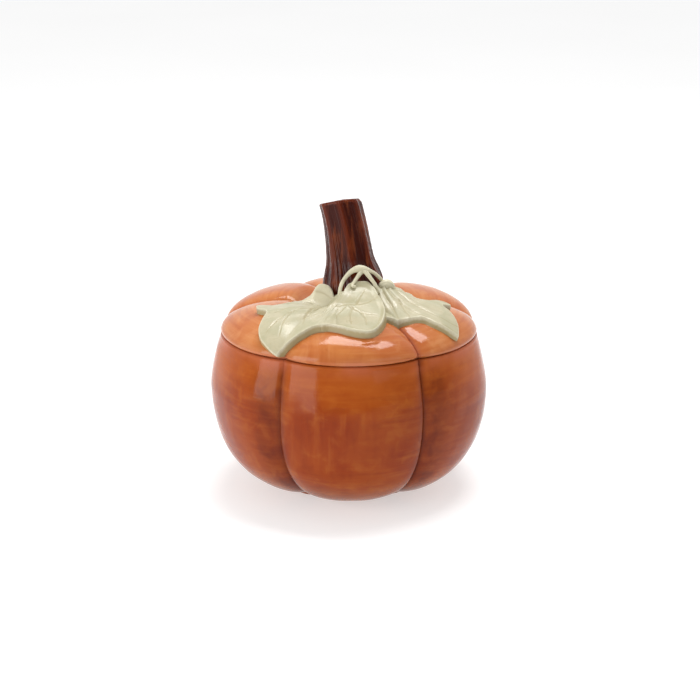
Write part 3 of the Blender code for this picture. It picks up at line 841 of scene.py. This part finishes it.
def leaf_mesh(corners, top, veins, beside_it, folds=None, rim=0.16 * MM, rounding=0.12 * MM, pale=0.0):
    """A slab of clay cut to an outline, with sloping cut edges and pressed veins.
    Inside the outline of a leaf beside it the slab has no edge, and runs on into that leaf."""
    outline = closed_curve(corners, 0.7 * MM)
    flat, triangles = filled(outline, 0.62 * MM, [LEAF_EDGE * t for t in LEAF_EDGE_ROWS])
    group = [outline, *(closed_curve(other, 0.7 * MM) for other in beside_it)]
    away, _ = distance_to_pieces(flat, *free_edges(group))
    pressed, vein = veins_at(flat, away, veins)
    height = top(flat) + pressed + unevenness(on_lid(flat, 0), 12 * MM, 0.12 * MM, 21)
    if folds:
        height += fanned(flat, *folds) * ramp(away, 0, 4)
    width = LEAF_EDGE * (1 - 0.62 * np.maximum(ramp(height, 5, 5), ramp(flat[:, 1], -38, 10)))
    foot = -0.5 * MM - (1 - LEAF_GROOVE_SHARE) * lid_hollow(flat)
    slope = foot + (height - foot) * away / width
    cut = -soft_max(-height, -slope, rounding)
    cut += rim * bell((away - width - 0.3 * MM) / (0.9 * MM))
    side = np.clip(1 - away / width, 0, 1) ** (1 + rounding / (0.5 * MM))
    upper = on_lid(flat, cut)
    ring = outline_order(flat, outline)
    sink = -1.0 * MM
    middle = on_lid(flat[ring], 0.8 * sink, 1.0)
    under_flat, under_triangles = filled(flat[ring], 3.5 * MM, [])
    under = on_lid(under_flat, sink, 1.0)
    under_ring = outline_order(under_flat, flat[ring])
    points = np.concatenate([upper, middle, under])
    faces = triangles
    start = len(upper) + len(middle)
    rows = [np.array(ring), len(upper) + np.arange(len(ring)), start + np.array(under_ring)]
    for upper_row, lower_row in zip(rows, rows[1:]):
        walls = np.stack([upper_row, lower_row, np.roll(lower_row, -1), np.roll(upper_row, -1)], -1)
        faces += walls.tolist()
    faces += [[start + k for k in reversed(t)] for t in under_triangles]
    data = new_mesh(points, faces)
    blank = np.zeros(len(points) - len(flat))
    edge = np.r_[away - width, blank]
    # A lighter coat over the whole piece is painted light, for pieces that get less light.
    write_points(data, edge=edge, side=np.r_[side, blank + 1], vein=np.r_[vein, blank], pale=pale)
    return data


def veins_at(flat, away, veins):
    """How far the surface is pressed at each vein, and how near each point is to one."""
    vein = np.zeros(len(flat))
    pressed = np.zeros(len(flat))
    for corners in veins:
        near, along = distance_to(flat, open_curve(corners))
        width = MM * (0.7 - 0.3 * along)
        line = bell(near / width)
        lips = bell((near - 1.9 * width) / width)
        fade = ramp(away, 0, 3)
        pressed += fade * MM * (0.1 * lips - 0.32 * line * (1 - 0.5 * along))
        vein = np.maximum(vein, line * fade)
    return pressed, vein


def outline_order(flat, outline):
    """The indices of the outline's points among the triangulated ones, in the outline's order."""
    return [int(np.argmin(np.hypot(*(flat - point).T))) for point in outline]


# --- tendrils


def tube_mesh(knots, sides=20, ridges=(0, 0.0)):
    """A rolled piece of clay along a smooth curve through knots of (x, y, z, radius) in millimetres.
    Ridges are how many run along it, and their depth as a share of the radius."""
    line = open_curve(knots, steps=12)
    path, radius = line[:, :3], line[:, 3]
    tangent = unit(np.gradient(path, axis=0))
    side = unit(np.cross(tangent, (0, 1, 0)))
    front = np.cross(side, tangent)
    turn = np.linspace(0, 2 * math.pi, sides, endpoint=False)
    ridge = 1 + ridges[1] * np.cos(ridges[0] * turn)

    def ring(index, shift, scale):
        centre = path[index] + tangent[index] * shift * radius[index]
        across = np.outer(np.cos(turn), side[index]) + 0.9 * np.outer(np.sin(turn), front[index])
        return centre + radius[index] * scale * across * ridge[:, None]

    caps = ((-0.95, 0.3), (-0.75, 0.66), (-0.4, 0.92))
    rings = [ring(0, shift, scale) for shift, scale in caps]
    rings += [ring(i, 0, 1) for i in range(len(path))]
    rings += [ring(-1, -shift, scale) for shift, scale in reversed(caps)]
    points = np.stack(rings)
    points += unevenness(points, 7 * MM, 0.1 * MM, 5)[..., None] * np.array([0.6, -0.5, 0.6])
    data = new_mesh(points, [face[:1] + face[:0:-1] for face in ring_faces(len(points), sides)])
    # The near edge and the lighter coat lighten the whole tendril: painted light.
    write_points(data, edge=0.2 * MM, side=0.0, vein=0.0, pale=0.6)
    return data


# --- materials


def add_node(tree, kind, inputs, **settings):
    """A new node. Each input is another node's output to link, or a value."""
    made = tree.nodes.new(kind)
    for key, value in settings.items():
        setattr(made, key, value)
    for key, value in inputs.items():
        if isinstance(value, bpy.types.NodeSocket):
            tree.links.new(value, made.inputs[key])
        else:
            made.inputs[key].default_value = value
    return made


class Shades:
    """A node material, built with one short call for each node. It keeps its colour so far."""

    def __init__(self, name, roughness, ior, colour):
        self.colour = colour
        self.material = bpy.data.materials.new(name)
        self.material.use_nodes = True
        self.tree = self.material.node_tree
        self.surface = self.tree.nodes["Principled BSDF"]
        self.surface.inputs["Roughness"].default_value = roughness
        self.surface.inputs["IOR"].default_value = ior
        self.place = self.node("ShaderNodeTexCoord", {}).outputs["Object"]

    def node(self, kind, inputs, **settings):
        return add_node(self.tree, kind, inputs, **settings)

    def read(self, name, output="Fac"):
        """An attribute of the mesh."""
        return self.node("ShaderNodeAttribute", {}, attribute_name=name).outputs[output]

    def stretched(self, vector, scale):
        return self.node("ShaderNodeMapping", {"Vector": vector, "Scale": scale}).outputs["Vector"]

    def noise(self, scale, detail, roughness=0.5, distortion=0.0, vector=None):
        vector = self.place if vector is None else vector
        inputs = {"Vector": vector, "Scale": scale, "Detail": detail, "Roughness": roughness}
        return self.node("ShaderNodeTexNoise", {**inputs, "Distortion": distortion}).outputs["Fac"]

    def span(self, value, low, high, to_low=0.0, to_high=1.0):
        """value between low and high, read from to_low to to_high and held there beyond them."""
        inputs = {"Value": value, "From Min": low, "From Max": high, "To Min": to_low, "To Max": to_high}
        return self.node("ShaderNodeMapRange", inputs, interpolation_type="SMOOTHSTEP").outputs["Result"]

    def plus(self, a, b):
        return self.node("ShaderNodeMath", {0: a, 1: b}, operation="ADD").outputs[0]

    def times(self, a, b):
        return self.node("ShaderNodeMath", {0: a, 1: b}, operation="MULTIPLY").outputs[0]

    def mix(self, share, a, b):
        """Colour a where share is 0 and b where it is 1."""
        a, b = ((*tone, 1.0) if isinstance(tone, tuple) else tone for tone in (a, b))
        return self.node("ShaderNodeMix", {0: share, 6: a, 7: b}, data_type="RGBA").outputs[2]

    def coat(self, tone, share):
        """A share of a tone over the colour so far."""
        self.colour = self.mix(share, self.colour, tone)

    def fade(self, tone, share, value, low, high):
        """A coat that goes from none where a value is low to a share where it is high."""
        self.coat(tone, self.span(value, low, high, 0, share))

    def finish(self, height=None, depth=0.0, dull=None, low=0.0, high=1.0):
        """The material, bumped by a height, and rougher where dull is high, from low to high roughness."""
        self.tree.links.new(self.colour, self.surface.inputs["Base Color"])
        if height is not None:
            bump = self.node("ShaderNodeBump", {"Height": height, "Distance": depth, "Strength": 1.0})
            self.tree.links.new(bump.outputs["Normal"], self.surface.inputs["Normal"])
            roughness = self.span(dull, 0.3, 0.7, low, high)
            self.tree.links.new(roughness, self.surface.inputs["Roughness"])
        return self.material


def painted_glaze(name, ior, tones, painted_shade_tone, rim_tone, upright_from, heights=None, crown_tone=None):
    """Brushed underglaze under clear gloss: four tones in strokes, painted shade in and beside the grooves,
    and a washed rim.
    """
    deep, middle, warm, light = tones
    shades = Shades(name, 0.12, ior, middle)
    brush = shades.read("brush", "Vector")
    patches = shades.noise(30, 3, 0.5, 0.4)
    clouds = shades.noise(78, 3, 0.55, 0.5)
    stretches = (shades.stretched(brush, scale) for scale in BRUSH_SCALES)
    level, upright = (shades.noise(1.0, 3, 0.55, 0.2, stretch) for stretch in stretches)
    either = shades.span(shades.noise(18, 1, vector=brush), upright_from, upright_from + 0.12)
    strokes = shades.mix(either, level, upright)
    shades.fade(warm, 1, patches, 0.34, 0.62)
    shades.fade(light, 0.45, clouds, 0.5, 0.72)
    shades.fade(deep, 0.36, clouds, 0.46, 0.28)
    shades.fade(light, 0.4, strokes, 0.48, 0.74)
    shades.fade(deep, 0.42, strokes, 0.52, 0.26)
    if heights:
        heights(shades)
    # Painted shade: a dark band down the side of each groove away from the front.
    groove_side_shade = shades.times(shades.read("groove_side_shade"), shades.span(clouds, 0.25, 0.65, 0.85, 0.35))
    # Painted shade in the grooves themselves, broken up by clouds.
    groove = shades.span(shades.read("groove"), 0.5, 1.0)
    groove = shades.times(groove, shades.span(clouds, 0.25, 0.7, 0.95, 0.55))
    rim = shades.span(shades.read("rim"), 0.2, 0.95)
    rim = shades.times(rim, shades.span(patches, 0.38, 0.62, 0.1, 0.75))
    # The painted shade tone laid beside and in the grooves, then the rim tone.
    shades.coat(painted_shade_tone, groove_side_shade)
    shades.coat(painted_shade_tone, groove)
    shades.coat(rim_tone, rim)
    if crown_tone:
        shades.fade(crown_tone, 0.7, shades.read("crown"), 0.2, 1.0)
    relief = shades.plus(strokes, shades.times(clouds, 0.6))
    return shades.finish(relief, 0.1 * MM, clouds, 0.08, 0.16)


def body_heights(shades):
    """The jar's colour by height: lighter orange at the shoulder, red-brown at the belly, tan at the foot."""
    height = shades.node("ShaderNodeSeparateXYZ", {0: shades.place}).outputs[2]
    height = shades.plus(height, shades.times(shades.noise(22, 2, 0.5), 0.03))
    shades.fade((0.48, 0.115, 0.016), 0.4, height, 0.085, 0.108)
    belly = shades.times(shades.span(height, 0.03, 0.06), shades.span(height, 0.098, 0.075))
    shades.coat((0.19, 0.022, 0.003), shades.times(belly, 0.3))
    shades.fade((0.3, 0.105, 0.035), 0.45, height, 0.045, 0.018)


def stem_glaze():
    """Chocolate brown, darker in the flutes and rust on what is raised, in streaks along the stem."""
    dark, brown, rust = (0.04, 0.004, 0.001), (0.1, 0.014, 0.003), (0.24, 0.05, 0.01)
    shades = Shades("stem_glaze", 0.12, 1.24, dark)
    streaks = shades.noise(1.0, 3, 0.55, 0.2, shades.stretched(shades.place, (300, 300, 20)))
    patches = shades.noise(50, 3, 0.5, 0.4)
    shades.fade(brown, 1, shades.read("raised"), 0.2, 0.8)
    shades.fade(rust, 0.5, streaks, 0.5, 0.75)
    shades.fade(rust, 0.35, patches, 0.5, 0.72)
    shades.fade(dark, 0.45, streaks, 0.46, 0.3)
    return shades.finish(streaks, 0.14 * MM, patches, 0.1, 0.18)


def leaf_glaze():
    """Pale celadon, olive where the glaze pools in veins and brown-olive along the cut edges."""
    cream, green, straw = (0.455, 0.41, 0.275), (0.38, 0.355, 0.225), (0.44, 0.36, 0.205)
    olive, brown = (0.31, 0.245, 0.11), (0.3, 0.135, 0.045)
    shades = Shades("leaf_glaze", 0.2, 1.45, cream)
    clouds = shades.noise(90, 3, 0.5, 0.4)
    specks = shades.noise(600, 3, 0.65)
    shades.fade(green, 1, clouds, 0.32, 0.68)
    shades.fade(straw, 0.3, specks, 0.54, 0.75)
    # Painted light: a lighter cream over the curled leaf and the tendrils, which get less light than the
    # other leaves.
    shades.coat((0.66, 0.61, 0.44), shades.times(shades.read("pale"), 0.8))
    # Lighter cream along the top of the cut edges; on the tendrils it lightens the whole tube, as painted
    # light.
    shades.fade((0.7, 0.66, 0.5), 0.45, shades.read("edge"), 0.9 * MM, 0.1 * MM)
    shades.coat(olive, shades.times(shades.read("vein"), 0.42))
    side = shades.plus(shades.read("side"), shades.times(specks, 0.3))
    shades.fade(olive, 0.9, side, 0.12, 0.5)
    shades.fade(brown, 0.8, side, 0.8, 1.15)
    return shades.finish(shades.plus(clouds, specks), 0.07 * MM, clouds, 0.27, 0.38)


def cream_glaze():
    """The plain glaze inside the jar and under the lid, faintly speckled."""
    shades = Shades("cream_glaze", 0.15, 1.42, (0.76, 0.7, 0.58))
    clouds = shades.noise(60, 3, 0.5)
    specks = shades.noise(900, 2, 0.5)
    shades.fade((0.68, 0.6, 0.46), 1, clouds, 0.35, 0.65)
    shades.fade((0.35, 0.22, 0.12), 0.5, specks, 0.68, 0.74)
    return shades.finish(clouds, 0.08 * MM, clouds, 0.1, 0.2)


def bare_clay():
    """Fired clay left without glaze on the foot, the lip and the lid's seat."""
    shades = Shades("bare_clay", 0.8, 1.45, (0.52, 0.4, 0.28))
    grain = shades.noise(1600, 4, 0.65)
    clouds = shades.noise(110, 3, 0.5)
    shades.fade((0.42, 0.29, 0.18), 1, clouds, 0.35, 0.65)
    shades.fade((0.24, 0.15, 0.09), 0.5, grain, 0.56, 0.72)
    return shades.finish(grain, 0.15 * MM, grain, 0.7, 0.9)


def floor_material():
    shades = Shades("studio_floor", 0.9, 1.3, (0.6, 0.6, 0.6))
    shades.coat((0.64, 0.64, 0.64), shades.noise(3, 2))
    shades.surface.inputs["Emission Color"].default_value = (1, 1, 1, 1)
    shades.surface.inputs["Emission Strength"].default_value = FLOOR_GLOW
    return shades.finish()


# --- the object


def build_jar_and_lid():
    cream, clay = cream_glaze(), bare_clay()
    body_tones = ((0.17, 0.02, 0.003), (0.235, 0.031, 0.003), (0.295, 0.054, 0.006), (0.39, 0.105, 0.015))
    # The tone after the four body tones is the painted shade in and beside the grooves.
    body = painted_glaze(
        "body_glaze", 1.24, body_tones, (0.105, 0.014, 0.004), (0.42, 0.105, 0.045), 0.5, body_heights
    )
    lid_tones = ((0.32, 0.068, 0.015), (0.42, 0.115, 0.03), (0.47, 0.155, 0.04), (0.55, 0.235, 0.09))
    # The lid's painted shade tone for its grooves, and its rim tone.
    lid_shade_and_rim_tones = (0.38, 0.1, 0.05), (0.46, 0.15, 0.08)
    lid = painted_glaze("lid_glaze", 1.32, lid_tones, *lid_shade_and_rim_tones, 0.58, crown_tone=(0.5, 0.2, 0.11))
    finished("jar", jar_mesh(), "jar", "body_glaze", "jar_body", body, cream, clay)
    finished("lid", lid_mesh(), "lid", "lid_glaze", "lid_shell", lid, cream, clay)


def build_stem():
    finished("stem", stem_mesh(), "lid", "stem_glaze", "stem_handle", stem_glaze())


def build_leaves():
    glaze = leaf_glaze()
    meshes = {
        "left_leaf": leaf_mesh(LEFT_LEAF, left_top, LEFT_VEINS, (FRONT_LEAF, CURLED_LEAF), LEFT_RIBS),
        "right_leaf": leaf_mesh(
            RIGHT_LEAF, right_top, RIGHT_VEINS, (FRONT_LEAF,), RIGHT_RIBS, rounding=0.6 * MM
        ),
        "front_leaf": leaf_mesh(FRONT_LEAF, front_top, FRONT_VEINS, (LEFT_LEAF,), rim=0.35 * MM),
        # The curled leaf faces the front steeply; its lighter coat is painted light.
        "curled_leaf": leaf_mesh(
            CURLED_LEAF, curled_top, CURLED_VEINS, (LEFT_LEAF,), rim=0.7 * MM, pale=0.9
        ),
        "leaf_bud": tube_mesh(BUD, 48, ridges=(9, 0.035)),
        "tendril_arch": tube_mesh(TENDRIL_ARCH),
        "tendril_curl": tube_mesh(TENDRIL_CURL),
        "tendril_branch": tube_mesh(TENDRIL_BRANCH),
    }
    for node, data in meshes.items():
        finished(node + "_glazed", data, "lid", "leaf_glaze", node, glaze)


# --- stage


def build_stage():
    """A plain whitish floor, a whitish surround and three soft lights."""
    half, low = FLOOR_HALF_WIDTH, -0.2 * MM
    corners = [(-half, -half, low), (half, -half, low), (half, half, low), (-half, half, low)]
    floor = placed("floor", new_mesh(corners, [(0, 1, 2, 3)]))
    floor.data.materials.append(floor_material())
    build_surround()
    # name, place, width, height, radiance
    soft_light("top_softbox", (0.1, 0.22, 1.15), 0.74, 0.42, 11.5)
    soft_light("left_softbox", (-0.95, -0.76, 0.36), 0.85, 0.68, 4.6)
    soft_light("front_fill", (1.1, -1.3, 0.8), 1.2, 0.8, 1.1)


def build_surround():
    """A white studio, dimmer in front of the jar than behind it."""
    world = bpy.data.worlds.new("studio")
    world.use_nodes = True
    tree = world.node_tree
    place = add_node(tree, "ShaderNodeTexCoord", {}).outputs["Generated"]
    depth = add_node(tree, "ShaderNodeSeparateXYZ", {0: place}).outputs["Y"]
    front, back = SURROUND
    inputs = {"Value": depth, "From Min": -0.9, "From Max": 0.95, "To Min": front, "To Max": back}
    shade = add_node(tree, "ShaderNodeMapRange", inputs, interpolation_type="SMOOTHSTEP")
    background = tree.nodes["Background"]
    background.inputs["Color"].default_value = (1, 1, 1, 1)
    tree.links.new(shade.outputs["Result"], background.inputs["Strength"])
    bpy.context.scene.world = world


def aim(thing, place, direction):
    """Puts a lamp or a camera at a place, facing a direction."""
    thing.location = place
    thing.rotation_mode = "QUATERNION"
    thing.rotation_quaternion = direction.to_track_quat("-Z", "Y")


def soft_light(name, place, width, height, radiance):
    """A rectangular softbox aimed at the middle of the jar."""
    data = bpy.data.lights.new(name, "AREA")
    data.shape = "RECTANGLE"
    data.size, data.size_y = width, height
    data.energy = radiance * math.pi * width * height
    aim(placed(name, data), place, Vector(CAMERA_AIM) - Vector(place))


def build_camera():
    data = bpy.data.cameras.new("camera")
    data.lens = CAMERA_LENS
    data.shift_x, data.shift_y = CAMERA_SHIFT
    camera = placed("camera", data)
    back = Vector((0, -math.cos(CAMERA_ELEVATION), math.sin(CAMERA_ELEVATION)))
    aim(camera, Vector(CAMERA_AIM) + CAMERA_DISTANCE * back, -back)
    bpy.context.scene.camera = camera
    bpy.context.scene.view_settings.view_transform = "Standard"


build_jar_and_lid()
build_stem()
build_leaves()
build_stage()
build_camera()
